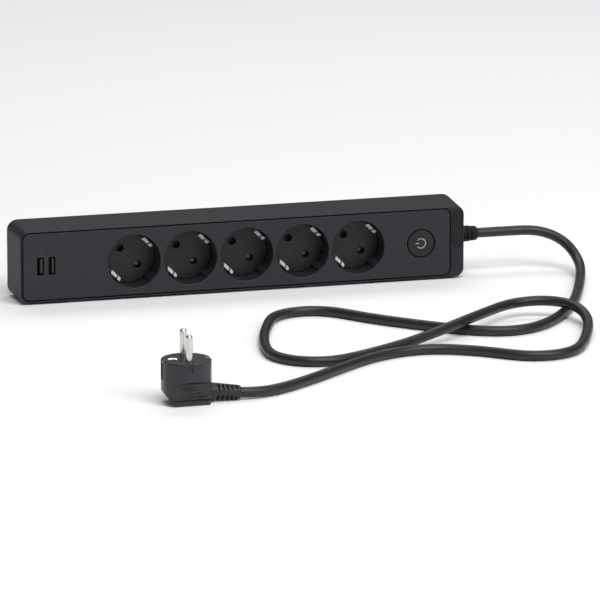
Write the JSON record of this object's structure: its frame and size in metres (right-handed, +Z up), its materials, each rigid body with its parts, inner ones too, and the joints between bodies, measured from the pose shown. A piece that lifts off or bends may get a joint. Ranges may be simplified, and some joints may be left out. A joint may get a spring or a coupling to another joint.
{
  "type": "power strip",
  "caption": "Mains socket strip standing on its side, with round recessed outlets, charging ports, a push switch and an attached lead with an angled plug.",
  "frame": {"origin": "under the middle of the strip, in the plane it stands on, halfway between its front face and its back", "axes": "+X runs along the strip towards the cable outlet, +Y from the socket face to the back, +Z up"},
  "size_m": [0.431, 0.3674, 0.057],
  "materials": {
    "housing_plastic": "fine-grained matt anthracite moulding",
    "insert_plastic": "matt near-black moulding",
    "button_plastic": "satin near-black moulding",
    "badge_plastic": "satin near-black inlay, blank",
    "light_guide_plastic": "satin light-grey translucent plastic",
    "contact_nickel": "bright nickel plate",
    "busbar_brass": "rolled brass strip",
    "screw_steel": "zinc-plated steel",
    "switch_plastic": "black moulding",
    "usb_insulator": "black moulding",
    "circuit_board": "green lacquered board",
    "transformer_tape": "yellow film tape over a ferrite core",
    "gland_rubber": "matt soft black",
    "cord_vinyl": "satin dark grey vinyl sheath",
    "plug_plastic": "satin dark grey moulding",
    "wire_brown": "brown insulation",
    "wire_blue": "blue insulation",
    "wire_green_yellow": "green-yellow insulation"
  },
  "bodies": {
    "casing": {"badge": "badge_plastic", "button_spring": "screw_steel", "cable_gland": "gland_rubber", "case_screw_1": "screw_steel", "case_screw_2": "screw_steel", "case_screw_3": "screw_steel", "case_screw_4": "screw_steel", "case_screw_5": "screw_steel", "case_screw_6": "screw_steel", "earth_contact_1": "contact_nickel", "earth_contact_2": "contact_nickel", "earth_contact_3": "contact_nickel", "earth_contact_4": "contact_nickel", "earth_contact_5": "contact_nickel", "earth_rail": "busbar_brass", "earth_wire": "wire_green_yellow", "front_panel": "housing_plastic", "live_busbar": "busbar_brass", "live_wire": "wire_brown", "mains_cord": "cord_vinyl", "neutral_busbar": "busbar_brass", "neutral_wire": "wire_blue", "outer_housing": "housing_plastic", "plug_body": "plug_plastic", "plug_boot": "gland_rubber", "plug_earth_cable_side": "contact_nickel", "plug_earth_far_side": "contact_nickel", "plug_earth_sleeve": "contact_nickel", "plug_pin_live": "contact_nickel", "plug_pin_neutral": "contact_nickel", "rear_cover": "housing_plastic", "socket_insert_1": "insert_plastic", "socket_insert_2": "insert_plastic", "socket_insert_3": "insert_plastic", "socket_insert_4": "insert_plastic", "socket_insert_5": "insert_plastic", "socket_well_1": "housing_plastic", "socket_well_2": "housing_plastic", "socket_well_3": "housing_plastic", "socket_well_4": "housing_plastic", "socket_well_5": "housing_plastic", "switch_body": "switch_plastic", "switched_live_wire": "wire_brown", "usb_board": "circuit_board", "usb_capacitor": "switch_plastic", "usb_shell_left": "contact_nickel", "usb_shell_right": "contact_nickel", "usb_tongue_left": "usb_insulator", "usb_tongue_right": "usb_insulator", "usb_transformer": "transformer_tape"},
    "button": {"power_button": "button_plastic", "light_guide": "light_guide_plastic"},
    "switch_lever": {"switch_arm": "busbar_brass"},
    "shutter_body_1": {"shutter_1": "insert_plastic"},
    "shutter_body_2": {"shutter_2": "insert_plastic"},
    "shutter_body_3": {"shutter_3": "insert_plastic"},
    "shutter_body_4": {"shutter_4": "insert_plastic"},
    "shutter_body_5": {"shutter_5": "insert_plastic"}
  },
  "joints": [
    {"name": "button_press", "type": "slide", "parent": "casing", "child": "button", "axis": [0, 1, 0], "range_m": [0, 0.0025], "stiffness_N_per_m": 250, "deforming": ["button_spring"]},
    {"name": "lever_swing", "type": "hinge", "parent": "casing", "child": "switch_lever", "pos_m": [0.1275, -0.0019, 0.0286], "axis": [0, 0, 1], "range_deg": [0, 17]},
    {"name": "shutter_turn_1", "type": "hinge", "parent": "casing", "child": "shutter_body_1", "pos_m": [-0.084, 0.0044, 0.0285], "axis": [0, 1, 0], "range_deg": [0, 40], "stiffness_Nm_per_rad": 0.002},
    {"name": "shutter_turn_2", "type": "hinge", "parent": "casing", "child": "shutter_body_2", "pos_m": [-0.041, 0.0044, 0.0285], "axis": [0, 1, 0], "range_deg": [0, 40], "stiffness_Nm_per_rad": 0.002},
    {"name": "shutter_turn_3", "type": "hinge", "parent": "casing", "child": "shutter_body_3", "pos_m": [0.002, 0.0044, 0.0285], "axis": [0, 1, 0], "range_deg": [0, 40], "stiffness_Nm_per_rad": 0.002},
    {"name": "shutter_turn_4", "type": "hinge", "parent": "casing", "child": "shutter_body_4", "pos_m": [0.045, 0.0044, 0.0285], "axis": [0, 1, 0], "range_deg": [0, 40], "stiffness_Nm_per_rad": 0.002},
    {"name": "shutter_turn_5", "type": "hinge", "parent": "casing", "child": "shutter_body_5", "pos_m": [0.088, 0.0044, 0.0285], "axis": [0, 1, 0], "range_deg": [0, 40], "stiffness_Nm_per_rad": 0.002}
  ],
  "couplings": [
    {"joint": "lever_swing", "follows": "button_press", "rad_per_m": 115}
  ]
}
